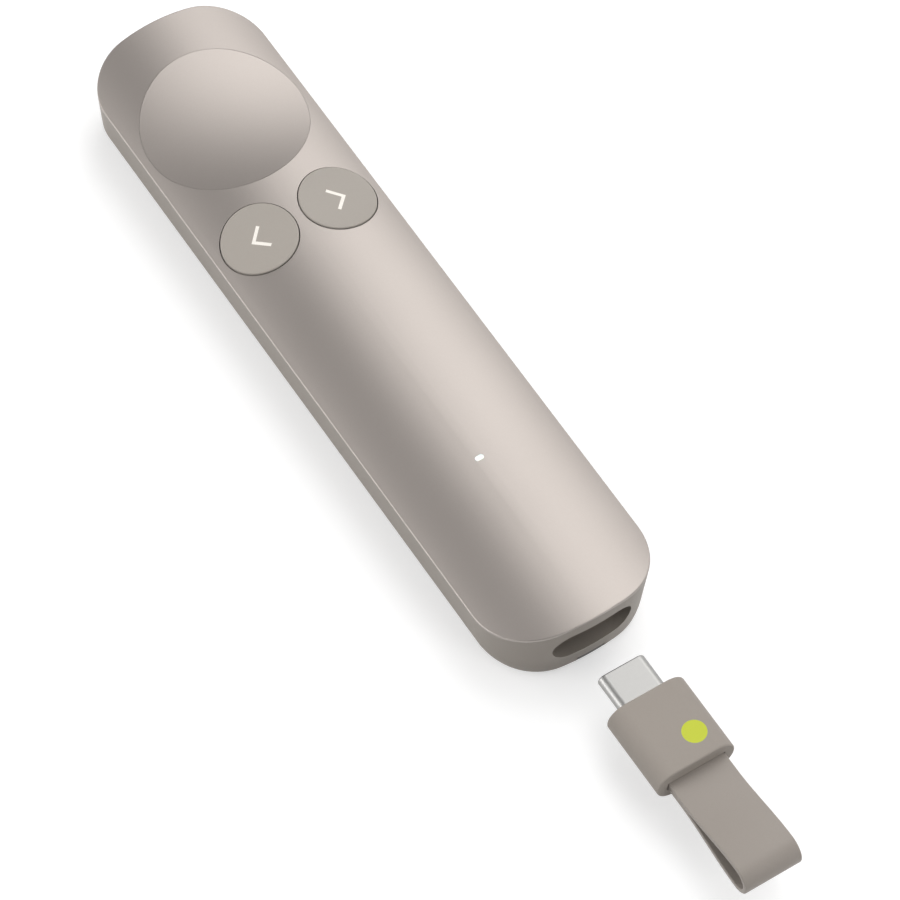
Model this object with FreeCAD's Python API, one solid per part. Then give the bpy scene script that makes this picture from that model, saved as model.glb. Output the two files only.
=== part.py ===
"""Wireless presentation clicker with a plug-in receiver on a rubber strap loop.

Millimetres, +Z up. The long axis is Y: the dished pointer button is near the
+Y end, and the pocket for the receiver opens at the -Y end. The origin is on
the flat underside, below the middle of the case. The receiver lies pulled
out, in line with its pocket.
"""
import FreeCAD, Part
import math
import os

# Case, seen from above and in section, with its length over the crown's tips
case_width = 29.6
case_length = 129.8
far_corner_radius = 9.5
near_corner_radius = 10.9
far_end_radius = 60.0
near_end_radius = 39.0
crown_height = 14.6
crown_radius = 35.8
rim_round = 0.2

# Wall: the sides and the near end are drawn in downwards, the far end is upright
wall_draft = 0.10
side_foot_round = 3.5
near_foot_round = 1.9
far_foot_round = 0.4
far_corner_share = 1.5
foot_steps = 8

# Shells: walls, the lid's skin, plate and lip, and the gaps between them
floor_thickness = 1.4
wall_thickness = 1.9
lid_skin = 0.45
lid_thickness = 1.5
lid_lip_depth = 1.9
lid_lip_inset = 2.0
rim_step = 1.1
seam_gap = 0.05

# Pointer button, a wide dish
pointer_y = 42.9
pointer_radius = 13.54
pointer_gap = 0.04
pointer_dish = 1.4

# Back and next buttons
small_x = 7.15
small_y = 20.4
small_radius = 6.2
small_gap = 0.17
small_dish = 0.4
small_proud = 0.3
small_rim_round = 0.2
chevron_height = 4.5
chevron_depth = 2.2
chevron_stroke = 0.55
chevron_inlay = 0.4
chevron_shift = 0.2

# What the three button caps share
button_travel = 0.4
cap_side = 0.85
cap_wall = 1.1
cap_skin = 1.0
stem_radius = 1.3
lug_width = 3.0
lug_reach = 0.8
lug_root = 0.9
lug_gap = 0.15

# Board and what sits on it
board_top = 8.2
board_thickness = 1.0
board_width = 22.0
board_near_y = -42.8
board_far_y = 57.0
board_corner = 2.5
switch_size = 4.5
switch_body = 0.6
switch_height = 0.9
plunger_radius = 1.0
plunger_gap = 0.05
shield_y = -5.0
shield_width = 12.0
shield_length = 14.0
shield_height = 1.6
shield_wall = 0.2
chip_size = 6.0
chip_height = 0.9
light_y = -32.1
light_width = 1.5
light_depth = 0.9
led_width = 1.6
led_depth = 0.8
led_height = 0.6
led_gap = 0.2

# Cell and vibration motor under the board
cell_y = -19.0
cell_width = 19.0
cell_length = 38.0
cell_corner = 1.2
cell_gap = 0.2
motor_y = 12.0
motor_radius = 5.0
motor_height = 2.8

# Pocket, its liner and the charging port at its floor
pocket_z = 8.2
pocket_width = 14.1
pocket_height = 6.7
end_block_y = -61.3
liner_wall = 0.5
liner_floor = 0.6
liner_gap = 0.1
seat_width = 10.0
port_clearance = 0.08
port_wall = 0.3
port_depth = 7.3
port_back = 0.4
tongue_width = 6.6
tongue_thickness = 0.7
tongue_setback = 1.0

# Receiver, pulled out of its pocket by its travel
receiver_travel = 27.5
dock_gap = 0.15
housing_width = 13.7
housing_height = 6.3
housing_length = 13.75
housing_front_y = -77.95
housing_round = 0.3
plug_width = 8.25
plug_height = 2.4
plug_exposed = 6.65
plug_root = 3.0
plug_wall = 0.3
plug_tip_round = 0.25
insert_setback = 0.3
insert_web = 3.2
contact_width = 6.9
contact_height = 1.0
receiver_board_width = 9.2
receiver_board_thickness = 0.8
inner_gap = 0.4
dot_radius = 1.95
dot_x = 2.4
dot_y = -87.35
dot_inlay = 0.2

# Rubber strap, doubled back into a loop, and the pin that holds its root
strap_width = 10.0
strap_thickness = 0.85
strap_reach = 20.4
strap_joined = 3.2
strap_loop_height = 5.6
strap_gap = 0.1
slot_depth = 3.2
pin_radius = 0.6
pin_half_height = 1.9
pin_setback = 1.9

# Power slide, in a recess whose mouth shows as a slit under the pocket
recess_width = 5.0
recess_top = 2.35
recess_end_y = -54.0
power_travel = 2.0
knob_width = 4.6
knob_setback = 0.03
knob_bottom = 0.35
knob_gap = 0.05
end_gap = 0.3
grip_y = -58.4
groove_pitch = 1.0
groove_width = 0.4
groove_depth = 0.3
arm_width = 1.6
arm_tip_y = -46.9
arm_side_gap = 0.15
channel_floor = 0.95
channel_end_y = -44.4
power_switch_width = 6.0
power_switch_near_y = -48.8
power_switch_far_y = -43.5
power_switch_top = 4.2

# Case screws, driven from below
screw_x = 8.6
screw_rows = (-45.0, 30.5)
screw_radius = 0.8
screw_head_radius = 1.5
screw_head_low = 0.3
screw_head_high = 1.0
screw_gap = 0.1
screw_grip = 3.0
drive_reach = 1.1
drive_width = 0.4
drive_top = 0.6
floor_post_radius = 2.0
lid_boss_radius = 1.4

# Worked out from the values above
past = 100.0
sink = 0.2
half_width = case_width / 2
crown_centre_z = crown_height - crown_radius
edge_height = crown_centre_z + math.sqrt(crown_radius ** 2 - half_width ** 2)
far_tip_y = case_length / 2
near_tip_y = case_length / 2 - wall_draft * (crown_height - edge_height)
board_bottom = board_top - board_thickness
stem_end_z = board_top + switch_height + button_travel + plunger_gap
pocket_floor_y = housing_front_y + receiver_travel + dock_gap
liner_bottom = pocket_z - pocket_height / 2 - liner_wall
housing_back_y = housing_front_y - housing_length
plug_root_y = housing_front_y - plug_root
tip_y = housing_front_y + plug_exposed
slot_floor_y = housing_back_y + slot_depth
strap_root = 2 * strap_thickness
screw_top = board_top + screw_grip


def vec(x, y, z):
    return FreeCAD.Vector(x, y, z)


def box(x_low, x_high, y_low, y_high, z_low, z_high):
    corner = vec(x_low, y_low, z_low)
    return Part.makeBox(x_high - x_low, y_high - y_low, z_high - z_low, corner)


def block(x, y, width, length, z_low, z_high):
    """An upright block centred on x, y."""
    return box(x - width / 2, x + width / 2, y - length / 2, y + length / 2, z_low, z_high)


def bar(width, y_low, y_high, z_low, z_high):
    """A block on the long axis, from one y to another."""
    return box(-width / 2, width / 2, y_low, y_high, z_low, z_high)


def post(x, y, radius, z_low, z_high):
    """An upright cylinder."""
    return Part.makeCylinder(radius, z_high - z_low, vec(x, y, z_low))


def stadium(width, height, y_low, y_high, z_centre=pocket_z):
    """A bar along Y with a round-ended section, as wide and high as given."""
    radius = height / 2
    flat = width / 2 - radius
    solid = bar(2 * flat, y_low, y_high, z_centre - radius, z_centre + radius)
    for side in (-flat, flat):
        start = vec(side, y_low, z_centre)
        solid = solid.fuse(Part.makeCylinder(radius, y_high - y_low, start, vec(0, 1, 0)))
    return solid.removeSplitter()


def crown_z(x):
    return crown_centre_z + math.sqrt(crown_radius ** 2 - x ** 2)


def below_crown(drop):
    """Everything under the crown surface lowered by drop, over the whole case."""
    start = vec(0, -past, crown_centre_z)
    return Part.makeCylinder(crown_radius - drop, 2 * past, start, vec(0, 1, 0))


def end_arcs(half, tip_y, corner, end):
    """Points on one end of an outline: its corner arc from the side inwards, and its tip."""
    corner_x = half - corner
    centre_y = tip_y - end
    turn = math.asin(corner_x / (end - corner))
    corner_y = centre_y + (end - corner) * math.cos(turn)
    points = []
    for share in (0, 0.5, 1):
        angle = share * (math.pi / 2 - turn)
        points.append((corner_x + corner * math.cos(angle), corner_y + corner * math.sin(angle)))
    return points, (0, tip_y)


def outline(inset, z, side_foot=0, near_foot=0, far_foot=0):
    """The case seen from above at height z: two sides, four corner arcs and two end arcs.

    It is moved in by inset, and by what each foot edge stands back at that height.
    """
    slope = wall_draft * (edge_height - z)
    side_in = slope + side_foot
    near_in = inset + slope + near_foot
    half = half_width - inset - side_in
    far_corner = far_corner_radius - inset - far_corner_share * side_in
    near_corner = near_corner_radius - inset - side_in
    far = end_arcs(half, far_tip_y - inset - far_foot, far_corner, far_end_radius - inset)
    near = end_arcs(half, near_tip_y - near_in, near_corner, near_end_radius - near_in)
    edges = []
    for sy, (corner, tip) in ((1, far), (-1, near)):
        right = [vec(x, sy * y, z) for x, y in corner]
        left = [vec(-x, sy * y, z) for x, y in corner]
        edges.append(Part.Arc(*right).toShape())
        edges.append(Part.Arc(right[2], vec(tip[0], sy * tip[1], z), left[2]).toShape())
        edges.append(Part.Arc(*left).toShape())
    for sx in (1, -1):
        near_side = vec(sx * half, -near[0][0][1], z)
        far_side = vec(sx * half, far[0][0][1], z)
        edges.append(Part.LineSegment(near_side, far_side).toShape())
    return Part.Wire(Part.__sortEdges__(edges))


def tapered_block(inset, z_low, z_high):
    """The case outline moved in by inset, drawn in downwards by the draft."""
    return Part.makeLoft([outline(inset, z_low), outline(inset, z_high)], True, True)


def stand_back(radius, z):
    """How far a foot edge rounded by this radius stands back at height z."""
    return radius - math.sqrt(radius ** 2 - max(radius - z, 0) ** 2)


def rounded_case():
    """The whole case as one solid, with its foot edges rounded."""
    rings = []
    for step in range(foot_steps + 1):
        z = side_foot_round * (1 - math.cos(step * math.pi / 2 / foot_steps))
        rings.append(outline(0, z, stand_back(side_foot_round, z),
                             stand_back(near_foot_round, z), stand_back(far_foot_round, z)))
    foot = Part.makeLoft(rings, True, False)
    body = tapered_block(0, side_foot_round, crown_height + 1)
    return foot.fuse(body).common(below_crown(0)).removeSplitter()


def end_edges(shape, y):
    """The edges that lie in the plane at y."""
    return [edge for edge in shape.Edges
            if edge.BoundBox.YMin > y - 0.01 and edge.BoundBox.YMax < y + 0.01]


def spool(radius, dish, x, y, proud):
    """Cuts a dished top whose round rim follows the crown, this far above it.

    The cut surface is hollow along Y and follows the crown, flattened, along X.
    """
    rim_drop = crown_radius - math.sqrt(crown_radius ** 2 - radius ** 2)
    across = (radius ** 2 + (rim_drop - dish) ** 2) / (2 * (rim_drop - dish))
    along = (radius ** 2 + dish ** 2) / (2 * dish)
    floor = crown_height - dish
    axis_z = floor + along
    reach = radius + 2
    side_z = floor - across + math.sqrt(across ** 2 - reach ** 2)
    arc = Part.Arc(vec(-reach, y, side_z), vec(0, y, floor), vec(reach, y, side_z))
    corners = [vec(reach, y, side_z), vec(reach, y, axis_z),
               vec(-reach, y, axis_z), vec(-reach, y, side_z)]
    lines = [Part.LineSegment(a, b).toShape() for a, b in zip(corners, corners[1:])]
    profile = Part.Face(Part.Wire([arc.toShape()] + lines))
    cutter = profile.revolve(vec(0, y, axis_z), vec(1, 0, 0), 360)
    tilt = math.degrees(math.asin(x / crown_radius))
    cutter.rotate(vec(0, 0, crown_centre_z), vec(0, 1, 0), tilt)
    cutter.translate(vec(0, 0, proud))
    return cutter


def button_cap(x, y, radius, dish, proud=0):
    """A dished cap, hollow below, with a stem and two lugs that hold it in."""
    under_z = crown_z(abs(x) + radius) - cap_side
    cap = post(x, y, radius, under_z, crown_height + 1)
    hollow = post(x, y, radius - cap_wall, under_z - 1, crown_height)
    cap = cap.cut(hollow.common(below_crown(dish + cap_skin)))
    cap = cap.fuse(post(x, y, stem_radius, stem_end_z, crown_height - dish - cap_skin))
    lug_top = crown_z(abs(x) + lug_width / 2) - lid_thickness - lug_gap
    for side in (-1, 1):
        middle = y + side * (radius + (lug_reach - lug_root) / 2)
        cap = cap.fuse(block(x, middle, lug_width, lug_reach + lug_root, under_z, lug_top))
    return cap.cut(spool(radius, dish, x, y, proud)).removeSplitter()


def rim_edges(cap, radius):
    """The two half rounds between a cap's side and its dished top."""
    return [edge for edge in cap.Edges
            if min(edge.BoundBox.XLength, edge.BoundBox.YLength) > radius - 0.01]


def chevron(x, y, side):
    """An arrow mark whose point faces side, inlaid flush in the button's top."""
    half = chevron_height / 2
    spread = math.atan2(half, chevron_depth)
    end_back = chevron_stroke * math.sin(spread)
    end_in = chevron_stroke * math.cos(spread)
    point_x = x + side * ((chevron_depth + end_back) / 2 + chevron_shift)
    outer_x = point_x - side * chevron_depth
    inner_x = outer_x - side * end_back
    notch_x = point_x - side * chevron_stroke / math.sin(spread)
    corners = [vec(point_x, y, 0), vec(outer_x, y + half, 0),
               vec(inner_x, y + half - end_in, 0), vec(notch_x, y, 0),
               vec(inner_x, y - half + end_in, 0), vec(outer_x, y - half, 0),
               vec(point_x, y, 0)]
    mark = Part.Face(Part.makePolygon(corners)).extrude(vec(0, 0, crown_height + 1))
    top = spool(small_radius, small_dish, x, y, small_proud)
    floor = top.copy()
    floor.translate(vec(0, 0, -chevron_inlay))
    return mark.cut(top).common(floor)


def window_shape():
    """The light's oval, as an upright bar through the lid."""
    oval = stadium(light_width, light_depth, -past, past, 0)
    oval.rotate(vec(0, 0, 0), vec(1, 0, 0), 90)
    oval.translate(vec(0, light_y, 0))
    return oval


def screw_places():
    return [(side * screw_x, row) for row in screw_rows for side in (-1, 1)]


parts = {}

# Lid: a skin with a softened rim over a plate that drops inside the lower shell
whole_case = rounded_case()
skin = whole_case.cut(below_crown(lid_skin))
rim = max(skin.Faces, key=lambda face: face.BoundBox.ZMax + face.Area).OuterWire.Edges
skin = skin.makeFillet(rim_round, rim)
plate = tapered_block(rim_step + seam_gap, 0, crown_height + 1).common(below_crown(lid_skin))
lip = plate.cut(tapered_block(lid_lip_inset, -1, crown_height + 2))
lip = lip.cut(below_crown(lid_lip_depth))
top_shell = skin.fuse([plate.cut(below_crown(lid_thickness)), lip])
for x, y in screw_places():
    boss = post(x, y, lid_boss_radius, board_top, crown_height).common(below_crown(lid_skin))
    top_shell = top_shell.fuse(boss)
    top_shell = top_shell.cut(post(x, y, screw_radius, 0, screw_top + screw_gap))
top_shell = top_shell.cut(post(0, pointer_y, pointer_radius + pointer_gap, 0, past))
for side in (-1, 1):
    hole = post(side * small_x, small_y, small_radius + small_gap, 0, past)
    top_shell = top_shell.cut(hole)
parts["top_shell"] = top_shell.cut(window_shape()).removeSplitter()

# Lower shell: a tub with a stepped rim, the pocket's mouth and the power recess
lower_shell = whole_case.common(below_crown(lid_skin + seam_gap))
rabbet = tapered_block(rim_step, -1, crown_height + 2).cut(below_crown(lid_lip_depth + seam_gap))
cavity = tapered_block(wall_thickness, floor_thickness, crown_height + 2)
cavity = cavity.common(bar(past, end_block_y, past, 0, past))
lower_shell = lower_shell.cut(rabbet).cut(cavity)
seat = bar(seat_width, end_block_y - sink, pocket_floor_y + liner_floor + liner_gap,
           floor_thickness - sink, liner_bottom - seam_gap)
lower_shell = lower_shell.fuse(seat)
for x, y in screw_places():
    post_top = board_bottom if y > board_near_y else board_top
    lower_shell = lower_shell.fuse(post(x, y, floor_post_radius, floor_thickness - sink, post_top))
    lower_shell = lower_shell.cut(post(x, y, screw_radius, -1, post_top + 1))
    lower_shell = lower_shell.cut(post(x, y, screw_head_radius + screw_gap, -1, screw_head_high))
mouth = stadium(pocket_width, pocket_height, -past, end_block_y + 1)
recess = bar(recess_width, -past, recess_end_y, -1, recess_top)
channel = bar(arm_width + 2 * arm_side_gap, recess_end_y - sink, channel_end_y,
              channel_floor, recess_top)
parts["lower_shell"] = lower_shell.cut(mouth).cut(recess).cut(channel).removeSplitter()

# Sleeve that guides the receiver, with an opening in its floor for the port
port_inner_width = plug_width + 2 * port_clearance
port_inner_height = plug_height + 2 * port_clearance
port_width = port_inner_width + 2 * port_wall
port_height = port_inner_height + 2 * port_wall
liner = stadium(pocket_width + 2 * liner_wall, pocket_height + 2 * liner_wall,
                end_block_y + liner_gap, pocket_floor_y + liner_floor)
liner = liner.cut(stadium(pocket_width, pocket_height, -past, pocket_floor_y))
parts["pocket_liner"] = liner.cut(stadium(port_width + liner_gap, port_height + liner_gap,
                                          pocket_floor_y - 1, pocket_floor_y + 2))

# Charging port: steel shell with a closed back, and its contact tongue
port_front = pocket_floor_y + seam_gap
port_inner_back = port_front + port_depth - port_back
port = stadium(port_width, port_height, port_front, port_front + port_depth)
hollow = stadium(port_inner_width, port_inner_height, port_front - 1, port_inner_back)
parts["charging_port"] = port.cut(hollow)
parts["port_tongue"] = bar(tongue_width, port_front + tongue_setback, port_inner_back,
                           pocket_z - tongue_thickness / 2, pocket_z + tongue_thickness / 2)

# Buttons: the wide dish, and two small caps that stand a little proud of the lid,
# with softened rims and inlaid marks
parts["pointer_button"] = button_cap(0, pointer_y, pointer_radius, pointer_dish)
for name, side in (("back", -1), ("next", 1)):
    mark = chevron(side * small_x, small_y, side)
    cap = button_cap(side * small_x, small_y, small_radius, small_dish, small_proud)
    cap = cap.makeFillet(small_rim_round, rim_edges(cap, small_radius))
    parts[name + "_button"] = cap.cut(mark)
    parts[name + "_chevron"] = mark

# Board, with holes for the case screws
board = bar(board_width, board_near_y, board_far_y, board_bottom, board_top)
upright = [edge for edge in board.Edges if edge.Length < board_thickness + 0.01]
board = board.makeFillet(board_corner, upright)
for x, y in screw_places():
    board = board.cut(post(x, y, screw_radius + screw_gap, 0, past))
parts["circuit_board"] = board

# Switches under the three buttons: a square body with a round plunger
for name, x, y in (("pointer_switch", 0, pointer_y), ("back_switch", -small_x, small_y),
                   ("next_switch", small_x, small_y)):
    body = block(x, y, switch_size, switch_size, board_top, board_top + switch_body)
    plunger = post(x, y, plunger_radius, board_top + switch_body / 2, board_top + switch_height)
    parts[name] = body.fuse(plunger)

# Processor under its radio can
can = block(0, shield_y, shield_width, shield_length, board_top, board_top + shield_height)
inside = block(0, shield_y, shield_width - 2 * shield_wall, shield_length - 2 * shield_wall,
               board_top - 1, board_top + shield_height - shield_wall)
parts["radio_shield"] = can.cut(inside)
parts["controller_chip"] = block(0, shield_y, chip_size, chip_size,
                                 board_top, board_top + chip_height)

# Light source and the clear window over it, flush with the crown
parts["status_led"] = block(0, light_y, led_width, led_depth, board_top, board_top + led_height)
window_low = board_top + led_height + led_gap
room = block(0, light_y, 2 * light_width, 2 * light_depth, window_low, past)
parts["status_light"] = window_shape().common(room).common(below_crown(0))

# Cell and vibration motor under the board
cell = block(0, cell_y, cell_width, cell_length, floor_thickness, board_bottom - cell_gap)
long_edges = [edge for edge in cell.Edges if edge.Length > cell_length - 1]
parts["battery_cell"] = cell.makeFillet(cell_corner, long_edges)
parts["buzzer_motor"] = post(0, motor_y, motor_radius, floor_thickness,
                             floor_thickness + motor_height)

# Power switch, and the knob whose arm reaches into it and whose end fills the slit
knob_far_y = recess_end_y - end_gap - power_travel
knob_top = recess_top - knob_gap
power_switch = bar(power_switch_width, power_switch_near_y, power_switch_far_y,
                   floor_thickness, power_switch_top)
arm_room = bar(arm_width + 2 * arm_side_gap, power_switch_near_y - 1, channel_end_y,
               0, recess_top + knob_gap)
parts["power_switch"] = power_switch.cut(arm_room)
knob = bar(knob_width, -past, knob_far_y, knob_bottom, knob_top)
set_back = whole_case.copy()
set_back.translate(vec(0, knob_setback, 0))
knob = knob.common(set_back)
for step in (-1, 0, 1):
    groove_y = grip_y + step * groove_pitch
    knob = knob.cut(block(0, groove_y, recess_width, groove_width, 0, knob_bottom + groove_depth))
arm = bar(arm_width, knob_far_y - sink, arm_tip_y, channel_floor + knob_gap, knob_top)
parts["power_knob"] = knob.fuse(arm).removeSplitter()

# Four identical case screws with cross-slotted heads
screws = []
for x, y in screw_places():
    head = post(x, y, screw_head_radius, screw_head_low, screw_head_high)
    shaft = post(x, y, screw_radius, screw_head_high - sink, screw_top)
    slot = block(x, y, 2 * drive_reach, drive_width, 0, drive_top)
    cross = block(x, y, drive_width, 2 * drive_reach, 0, drive_top)
    screws.append(head.fuse(shaft).cut(slot.fuse(cross)))
parts["case_screws"] = Part.makeCompound(screws)

# Receiver housing: rounded sides, hollow for its board, slotted for the strap
housing = stadium(housing_width, housing_height, housing_back_y, housing_front_y)
for end_y in (housing_back_y, housing_front_y):
    housing = housing.makeFillet(housing_round, end_edges(housing, end_y))
room_half = receiver_board_thickness / 2 + 2 * inner_gap
housing = housing.cut(stadium(plug_width, plug_height, plug_root_y, housing_front_y + 1))
housing = housing.cut(bar(receiver_board_width + 2 * inner_gap, slot_floor_y + 2 * inner_gap,
                          plug_root_y, pocket_z - room_half, pocket_z + room_half))
slot_half = strap_root / 2 + strap_gap
housing = housing.cut(bar(strap_width + 2 * strap_gap, housing_back_y - 1, slot_floor_y,
                          pocket_z - slot_half, pocket_z + slot_half))
dot_z = pocket_z + housing_height / 2
dot = post(dot_x, dot_y, dot_radius, dot_z - dot_inlay, dot_z)
pin = post(0, housing_back_y + pin_setback, pin_radius,
           pocket_z - pin_half_height, pocket_z + pin_half_height)
parts["accent_dot"] = dot
parts["strap_pin"] = pin
parts["receiver_housing"] = housing.cut(dot).cut(pin)
parts["receiver_board"] = bar(receiver_board_width, slot_floor_y + 3 * inner_gap, plug_root_y,
                              pocket_z - receiver_board_thickness / 2,
                              pocket_z + receiver_board_thickness / 2)

# Plug: steel shell and the insert that carries its contacts
shell = stadium(plug_width, plug_height, plug_root_y, tip_y)
shell = shell.makeFillet(plug_tip_round, end_edges(shell, tip_y))
bore_width = plug_width - 2 * plug_wall
bore_height = plug_height - 2 * plug_wall
parts["plug_shell"] = shell.cut(stadium(bore_width, bore_height, plug_root_y - 1, tip_y + 1))
insert = stadium(bore_width, bore_height, plug_root_y, tip_y - insert_setback)
contact_room = bar(contact_width, plug_root_y + insert_web, tip_y + 1,
                   pocket_z - contact_height / 2, pocket_z + contact_height / 2)
parts["plug_insert"] = insert.cut(contact_room)

# Strap: one flat band doubled back into a loop with a round nose
nose_radius = strap_loop_height / 2
nose_y = housing_back_y - strap_reach + nose_radius
joined_y = housing_back_y - strap_joined
swell_y = (joined_y + nose_y) / 2


def loop_solid(start_half, start_y, drop):
    """The loop's side profile drawn in by drop, as wide as the strap.

    The flanks leave start_y level, swell half way to the nose and meet it level.
    """
    radius = nose_radius - drop
    swell = (strap_root / 2 + nose_radius) / 2 - drop
    edges = [Part.Arc(vec(0, nose_y, pocket_z + radius), vec(0, nose_y - radius, pocket_z),
                      vec(0, nose_y, pocket_z - radius)).toShape(),
             Part.LineSegment(vec(0, start_y, pocket_z - start_half),
                              vec(0, start_y, pocket_z + start_half)).toShape()]
    level = vec(0, nose_y - start_y, 0)
    for side in (1, -1):
        points = [vec(0, start_y, pocket_z + side * start_half),
                  vec(0, swell_y, pocket_z + side * swell),
                  vec(0, nose_y, pocket_z + side * radius)]
        flank = Part.BSplineCurve()
        flank.interpolate(Points=points, InitialTangent=level, FinalTangent=level)
        edges.append(flank.toShape())
    face = Part.Face(Part.Wire(Part.__sortEdges__(edges)))
    face.translate(vec(-strap_width / 2, 0, 0))
    return face.extrude(vec(strap_width, 0, 0))


strap = loop_solid(strap_root / 2, joined_y, 0)
strap = strap.fuse(bar(strap_width, joined_y, slot_floor_y,
                       pocket_z - strap_root / 2, pocket_z + strap_root / 2))
strap = strap.cut(loop_solid(seam_gap, joined_y, strap_thickness))
parts["strap_loop"] = strap.cut(pin).removeSplitter()

os.makedirs("parts", exist_ok=True)
for name, shape in parts.items():
    shape.exportStep("parts/" + name + ".step")
    solids = len(shape.Solids)
    print(name, "solids", solids, "valid", shape.isValid(), "mm3", round(shape.Volume, 1))
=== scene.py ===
"""Looks of a wireless presentation clicker and its plug-in receiver."""
import math

import bmesh
import bpy
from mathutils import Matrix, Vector


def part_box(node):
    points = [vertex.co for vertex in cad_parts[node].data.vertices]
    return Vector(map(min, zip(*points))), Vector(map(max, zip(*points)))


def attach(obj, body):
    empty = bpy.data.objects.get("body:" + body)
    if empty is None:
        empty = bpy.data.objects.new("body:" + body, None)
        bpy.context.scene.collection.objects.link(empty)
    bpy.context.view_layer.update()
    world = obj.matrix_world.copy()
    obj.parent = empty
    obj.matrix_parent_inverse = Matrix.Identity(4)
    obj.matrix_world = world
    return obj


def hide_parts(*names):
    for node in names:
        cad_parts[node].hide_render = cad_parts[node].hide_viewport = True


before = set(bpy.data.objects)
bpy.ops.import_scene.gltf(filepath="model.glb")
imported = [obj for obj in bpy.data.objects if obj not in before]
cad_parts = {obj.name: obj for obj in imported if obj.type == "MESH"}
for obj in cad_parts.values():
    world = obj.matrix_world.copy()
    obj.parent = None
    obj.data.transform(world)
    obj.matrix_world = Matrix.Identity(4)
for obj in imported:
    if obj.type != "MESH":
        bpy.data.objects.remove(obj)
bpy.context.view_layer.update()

# Lower shell
# The tub of the case, injection moulded in ABS and given a fine spark-eroded
# texture in the mould, so it has an even satin surface with no gloss.
mm = 0.001
shell_colour = "#938B83"
shell_shade = "#8A8279"

# The mould's texture is about 0.1 mm from grain to grain, drawn coarser so that it shows
texture_grain = 0.35 * mm

# Besides its grain, each surface has a slow drift of tone over so many grains
drift_grains = 60
drift_share = 0.6
drift_seed = 5
relief_strength = 0.5


def linear(hex_colour):
    """An sRGB hex value as the linear colour that a shader socket takes."""
    parts = [int(hex_colour[i:i + 2], 16) / 255 for i in (1, 3, 5)]
    return [c / 12.92 if c <= 0.04045 else ((c + 0.055) / 1.055) ** 2.4 for c in parts] + [1]


def node(tree, kind, **given):
    """Adds a shader node. What is given is a property, a socket's value or a link.

    in0, in1 and so on name a socket by its place, and _ stands for a space.
    """
    made = tree.nodes.new("ShaderNode" + kind)
    for key, value in given.items():
        if hasattr(made, key):
            setattr(made, key, value)
            continue
        place = int(key[2:]) if key[:2] == "in" and key[2:].isdigit() else key.replace("_", " ")
        if isinstance(value, bpy.types.NodeSocket):
            tree.links.new(value, made.inputs[place])
        else:
            made.inputs[place].default_value = value
    return made


def new_material(name, **sockets):
    """A material with one Principled shader that has these socket values."""
    made = bpy.data.materials.new(name)
    made.use_nodes = True
    shader = made.node_tree.nodes["Principled BSDF"]
    for key, value in sockets.items():
        shader.inputs[key.replace("_", " ")].default_value = value
    return made, made.node_tree, shader


def grained(tree, shader, light, dark, grain, depth, seed=0.0):
    """Gives a shader an even grain of this size and depth, and a slight change of tone.

    All grain sizes are a few times the real ones, so that the grain shows.
    """
    place = node(tree, "TexCoord").outputs["Object"]
    grains = node(tree, "TexNoise", noise_dimensions="4D", Vector=place, W=seed,
                  Scale=1 / grain, Detail=2.0)
    drift = node(tree, "TexNoise", noise_dimensions="4D", Vector=place, W=seed + drift_seed,
                 Scale=1 / (drift_grains * grain), Detail=1.0)
    share = node(tree, "Mix", data_type="FLOAT", in0=drift_share, in2=grains.outputs["Fac"],
                 in3=drift.outputs["Fac"])
    tone = node(tree, "Mix", data_type="RGBA", in0=share.outputs[0],
                in6=linear(dark), in7=linear(light))
    bump = node(tree, "Bump", Strength=relief_strength, Distance=depth,
                Height=grains.outputs["Fac"])
    tree.links.new(tone.outputs[2], shader.inputs["Base Color"])
    tree.links.new(bump.outputs["Normal"], shader.inputs["Normal"])


def dress(name, material):
    """Puts a material on every slot of a CAD node."""
    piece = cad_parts[name]
    for slot in piece.material_slots:
        slot.material = material


moulded_abs, tree, shader = new_material("moulded_abs_satin", Roughness=0.5, IOR=1.5)
grained(tree, shader, shell_colour, shell_shade, grain=texture_grain, depth=0.01 * mm)
dress("lower_shell", moulded_abs)

# Power slide, its switch and the case screws
# A small black acetal knob runs in a recess of the underside, and four
# cross-slotted steel screws close the case from below.
acetal, tree, shader = new_material("moulded_acetal_black", Roughness=0.42, IOR=1.48)
grained(tree, shader, "#26241F", "#1D1B18", grain=0.3 * mm, depth=0.01 * mm)
for name in ("power_knob", "power_switch"):
    dress(name, acetal)
zinc_steel, tree, shader = new_material("zinc_plated_steel", Metallic=1.0, Roughness=0.34)
grained(tree, shader, "#B9B7B0", "#A6A49C", grain=0.25 * mm, depth=0.004 * mm, seed=2.0)
dress("case_screws", zinc_steel)

# Pocket liner and charging port
# A dark glass-filled nylon sleeve guides the receiver, and at its floor sits
# the pressed steel shell of the port with its black contact tongue.
nylon, tree, shader = new_material("moulded_nylon_dark", Roughness=0.6, IOR=1.53)
grained(tree, shader, "#2F2822", "#26201B", grain=0.3 * mm, depth=0.015 * mm, seed=1.0)
dress("pocket_liner", nylon)
stamped_steel, tree, shader = new_material("stamped_steel_nickelled", Metallic=1.0, Roughness=0.3)
grained(tree, shader, "#C2C0BA", "#AFADA6", grain=0.25 * mm, depth=0.004 * mm, seed=3.0)
dress("charging_port", stamped_steel)
dress("port_tongue", acetal)

# Circuit board and what is soldered to it
# Glass-epoxy boards under green solder mask, with nickelled steel cans and
# switches and a black moulded chip. All of it is closed in by case and housing.
solder_mask, tree, shader = new_material("solder_mask_green", Roughness=0.35, IOR=1.5)
grained(tree, shader, "#1F5A3A", "#174A30", grain=0.6 * mm, depth=0.01 * mm, seed=4.0)
for name in ("circuit_board", "receiver_board"):
    dress(name, solder_mask)
for name in ("radio_shield", "pointer_switch", "back_switch", "next_switch", "buzzer_motor"):
    dress(name, stamped_steel)
dress("controller_chip", acetal)

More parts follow.
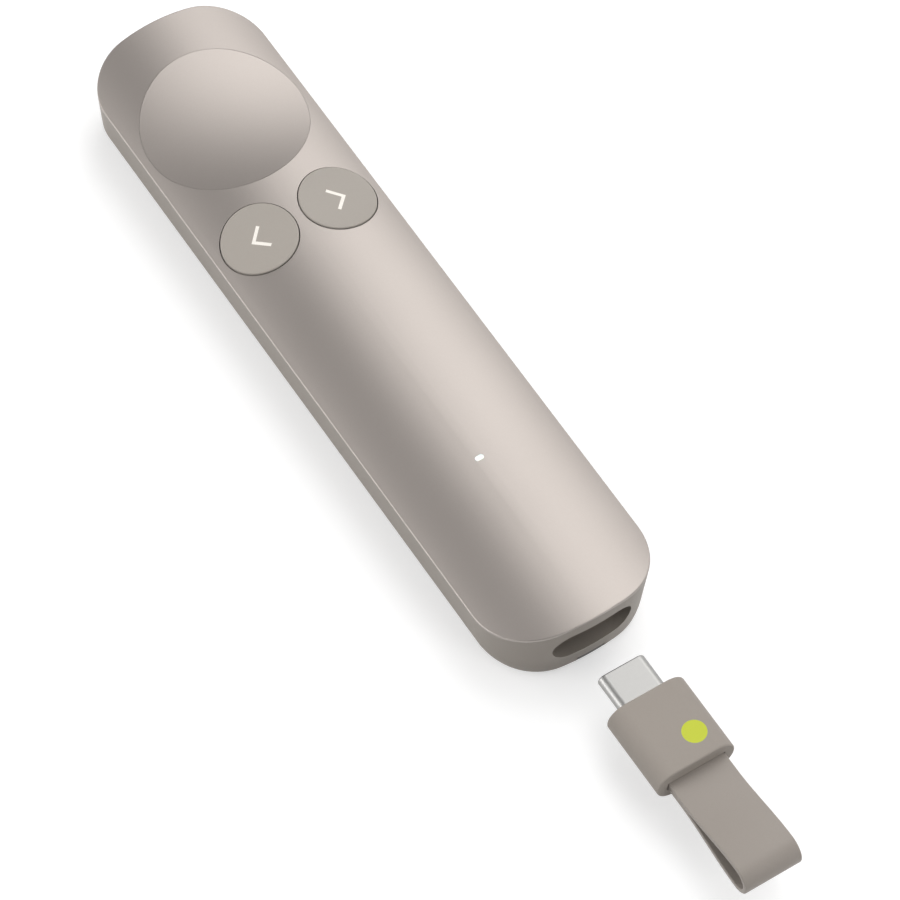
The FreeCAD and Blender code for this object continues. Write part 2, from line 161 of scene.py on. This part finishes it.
# Battery cell
# A flat lithium pouch cell in crinkled aluminium laminate, stuck to the floor
# of the tub.
laminate, tree, shader = new_material("aluminium_laminate", Metallic=1.0, Roughness=0.4)
grained(tree, shader, "#B4B6B8", "#9A9C9F", grain=1.5 * mm, depth=0.05 * mm, seed=6.0)
dress("battery_cell", laminate)

# Lid
# The crowned upper half of the case with the dished pointer button: aluminium,
# bead blasted and anodised champagne, so that light spreads over it in a soft sheen.
lid_light = "#A69F9A"
lid_dark = "#9E9792"

# Blasting leaves pits of about 0.05 mm, drawn coarser so that they show
blast_grain = 0.3 * mm

anodised, tree, shader = new_material("anodised_aluminium_champagne", Metallic=1.0, Roughness=0.45)
grained(tree, shader, lid_light, lid_dark, grain=blast_grain, depth=0.008 * mm, seed=7.0)
dress("top_shell", anodised)
dress("pointer_button", anodised)

# Back and next buttons
# Two round caps moulded in matte ABS, each with a light arrow mark moulded in
# as a second shot.
matte_abs, tree, shader = new_material("moulded_abs_matte", Roughness=0.55, IOR=1.48)
grained(tree, shader, "#A8A199", "#9F9890", grain=0.3 * mm, depth=0.012 * mm, seed=8.0)
for name in ("back_button", "next_button"):
    dress(name, matte_abs)
second_shot, tree, shader = new_material("moulded_abs_white", Roughness=0.55, IOR=1.48)
grained(tree, shader, "#F6F1EA", "#EFE9E0", grain=0.3 * mm, depth=0.006 * mm, seed=9.0)
for name in ("back_chevron", "next_chevron"):
    dress(name, second_shot)

# Status light
# A milky polycarbonate window pressed into the lid, with the light source on
# the board below it.
diffuser, tree, shader = new_material("milky_polycarbonate", Roughness=0.25, IOR=1.585,
                                      Subsurface_Weight=0.4, Subsurface_Scale=0.5 * mm)
grained(tree, shader, "#FDFAF6", "#F7F3EC", grain=0.4 * mm, depth=0.003 * mm, seed=10.0)
for name in ("status_light", "status_led"):
    dress(name, diffuser)

# Receiver housing
# A block overmoulded in soft-touch rubber, so dull that only its edges catch
# the light, with a round lime mark printed on top.
soft_touch, tree, shader = new_material("soft_touch_rubber", Roughness=0.78, IOR=1.46,
                                        Sheen_Weight=0.1)
grained(tree, shader, "#9E968E", "#958D85", grain=0.3 * mm, depth=0.015 * mm, seed=11.0)
dress("receiver_housing", soft_touch)
lime_ink, tree, shader = new_material("lime_pad_print", Roughness=0.55, IOR=1.48)
grained(tree, shader, "#C3CC31", "#BBC429", grain=0.3 * mm, depth=0.006 * mm, seed=12.0)
dress("accent_dot", lime_ink)

# Plug
# The drawn stainless shell of a standard plug, brushed so that it mirrors only
# broad patches of light, round a black insert that carries the contacts.
drawn_steel, tree, shader = new_material("drawn_stainless_steel", Metallic=1.0, Roughness=0.42)
grained(tree, shader, "#A3A2A0", "#9A9997", grain=0.4 * mm, depth=0.002 * mm, seed=13.0)
dress("plug_shell", drawn_steel)
dress("plug_insert", acetal)

# Strap
# One flat band of moulded silicone, doubled back on itself. Both ends go into
# the housing's back, where a steel pin holds them, and the band springs open
# into a loop with a round nose.
dress("strap_pin", stamped_steel)
strap_low, strap_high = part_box("strap_loop")
housing_low, housing_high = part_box("receiver_housing")
band_thickness = 0.85 * mm
band_round = 0.22 * mm
joined_length = 3.2 * mm
band_steps = 20
nose_steps = 24
corner_steps = 4
centre_z = (strap_low.z + strap_high.z) / 2
band_width = strap_high.x - strap_low.x
nose_radius = (strap_high.z - strap_low.z - band_thickness) / 2
nose_y = strap_low.y + band_thickness / 2 + nose_radius
joined_y = housing_low.y - joined_length


def flank_half(y):
    """Half the distance between the two bands' middles at y."""
    share = (joined_y - y) / (joined_y - nose_y)
    swell = 3 * share ** 2 - 2 * share ** 3
    return band_thickness / 2 + (nose_radius - band_thickness / 2) * swell


path = [Vector((0, strap_high.y, centre_z + band_thickness / 2)),
        Vector((0, housing_low.y, centre_z + band_thickness / 2))]
for step in range(band_steps + 1):
    y = joined_y + (nose_y - joined_y) * step / band_steps
    path.append(Vector((0, y, centre_z + flank_half(y))))
for step in range(1, nose_steps // 2):
    turn = math.pi * step / nose_steps
    path.append(Vector((0, nose_y - nose_radius * math.sin(turn),
                        centre_z + nose_radius * math.cos(turn))))
path.append(Vector((0, nose_y - nose_radius, centre_z)))
path += [Vector((0, p.y, 2 * centre_z - p.z)) for p in reversed(path[:-1])]


def band_section():
    """Offsets across and up of the points of the band's rounded section, once round."""
    spots = []
    for corner in range(4):
        middle = math.pi / 4 + corner * math.pi / 2
        side = 1 if math.cos(middle) > 0 else -1
        up = 1 if math.sin(middle) > 0 else -1
        for step in range(corner_steps + 1):
            turn = corner * math.pi / 2 + step * math.pi / (2 * corner_steps)
            spots.append((side * (band_width / 2 - band_round) + band_round * math.cos(turn),
                          up * (band_thickness / 2 - band_round) + band_round * math.sin(turn)))
    return spots


mesh = bmesh.new()
rings = []
for index, point in enumerate(path):
    before = path[max(index - 1, 0)]
    after = path[min(index + 1, len(path) - 1)]
    way = (after - before).normalized()
    out = Vector((0, way.z, -way.y))
    rings.append([mesh.verts.new(point + Vector((across, 0, 0)) + out * up)
                  for across, up in band_section()])
count = len(rings[0])
for first, second in zip(rings, rings[1:]):
    for i in range(count):
        j = (i + 1) % count
        mesh.faces.new((first[i], first[j], second[j], second[i]))
mesh.faces.new(rings[0])
mesh.faces.new(rings[-1])
bmesh.ops.recalc_face_normals(mesh, faces=mesh.faces)
band = bpy.data.meshes.new("strap")
mesh.to_mesh(band)
mesh.free()
for face in band.polygons:
    face.use_smooth = True
strap = bpy.data.objects.new("strap", band)
bpy.context.scene.collection.objects.link(strap)
silicone, tree, shader = new_material("moulded_silicone", Roughness=0.5, IOR=1.42,
                                      Sheen_Weight=0.08)
grained(tree, shader, "#9C948D", "#938B83", grain=0.35 * mm, depth=0.012 * mm, seed=14.0)
strap.data.materials.append(silicone)
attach(strap, "receiver")
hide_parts("strap_loop")

# Studio
# A plain pale floor under soft lamps: the key stands tall on the far right, and
# low fills on both sides keep the walls readable.
floor_size = 6
floor_grey = (0.6, 0.6, 0.6, 1)
white_light = (1, 1, 1, 1)
floor_lift = 0.5
ambient = 0.35
backdrop_rise = math.sin(math.radians(18))
lamp_aim = Vector((0, -20, 10)) * mm
scene = bpy.context.scene
bpy.ops.mesh.primitive_plane_add(size=floor_size)
floor = bpy.context.object
floor.name = "studio_floor"
paper, tree, shader = new_material("floor_white", Roughness=0.9)
shader.inputs["Base Color"].default_value = floor_grey


def direct_rays(tree, glossy_share=1.0):
    """1 for camera rays, and this share for the rays that metal and glass send out."""
    seen = node(tree, "LightPath")
    through = node(tree, "Math", operation="MAXIMUM", in0=seen.outputs["Is Glossy Ray"],
                   in1=seen.outputs["Is Transmission Ray"])
    shown = node(tree, "Math", operation="MULTIPLY", in0=through.outputs[0], in1=glossy_share)
    return node(tree, "Math", operation="MAXIMUM", in0=seen.outputs["Is Camera Ray"],
                in1=shown.outputs[0]).outputs[0]


shader.inputs["Emission Color"].default_value = white_light
lift = node(tree, "Math", operation="MULTIPLY", in0=direct_rays(tree), in1=floor_lift)
tree.links.new(lift.outputs[0], shader.inputs["Emission Strength"])
floor.data.materials.append(paper)


def soft_lamp(name, azimuth, elevation, width, height, power):
    """A rectangular soft lamp one metre from the case, in degrees, metres and watts.

    The azimuth turns from -Y towards +X.
    """
    turn, rise = math.radians(azimuth), math.radians(elevation)
    way = Vector((math.sin(turn) * math.cos(rise), -math.cos(turn) * math.cos(rise),
                  math.sin(rise)))
    lamp = bpy.data.lights.new(name, "AREA")
    lamp.shape = "RECTANGLE"
    lamp.size = width
    lamp.size_y = height
    lamp.energy = power
    holder = bpy.data.objects.new(name, lamp)
    scene.collection.objects.link(holder)
    holder.location = way + lamp_aim
    holder.rotation_mode = "QUATERNION"
    holder.rotation_quaternion = (-way).to_track_quat("-Z", "Y")


soft_lamp("key_far_right", 125, 52, 0.6, 1.02, 5.2)
soft_lamp("fill_left_low", 246, 20, 0.5, 0.5, 3.5)
soft_lamp("fill_left_high", 225, 38, 0.6, 0.6, 1.0)
soft_lamp("fill_near_high", 40, 68, 0.6, 0.6, 1.7)
soft_lamp("fill_near_low", 16, 28, 0.4, 0.4, 1.8)
soft_lamp("fill_right", 90, 20, 0.5, 0.5, 0.6)

# The camera sees white paper all round. Metal mirrors it only up to the backdrop's
# top, and above that the dim studio where the lamps stand.
world = bpy.data.worlds.new("studio")
scene.world = world
world.use_nodes = True
tree = world.node_tree
tree.nodes.clear()
height = node(tree, "SeparateXYZ", Vector=node(tree, "TexCoord").outputs["Generated"])
backdrop = node(tree, "Math", operation="LESS_THAN", in0=height.outputs["Z"], in1=backdrop_rise)
dim = node(tree, "Background", Color=white_light, Strength=ambient)
white = node(tree, "Background", Color=white_light, Strength=1.0)
both = node(tree, "MixShader", in0=direct_rays(tree, backdrop.outputs[0]),
            in1=dim.outputs[0], in2=white.outputs[0])
node(tree, "OutputWorld", Surface=both.outputs[0])

# Camera
# The photograph's own viewpoint, found from the outline of the case.
camera_azimuth = math.radians(-32.382)
camera_elevation = math.radians(58.479)
camera_distance = 0.796218
camera_target = Vector((1.747, -21.010, 0)) * mm
camera_lens = 205.223
camera = bpy.data.cameras.new("camera")
camera.sensor_width = 36
camera.lens = camera_lens
holder = bpy.data.objects.new("camera", camera)
scene.collection.objects.link(holder)
back = Vector((math.sin(camera_azimuth) * math.cos(camera_elevation),
               -math.cos(camera_azimuth) * math.cos(camera_elevation),
               math.sin(camera_elevation)))
holder.location = camera_target + back * camera_distance
holder.rotation_mode = "QUATERNION"
holder.rotation_quaternion = (-back).to_track_quat("-Z", "Y")
scene.camera = holder
scene.view_settings.view_transform = "Standard"
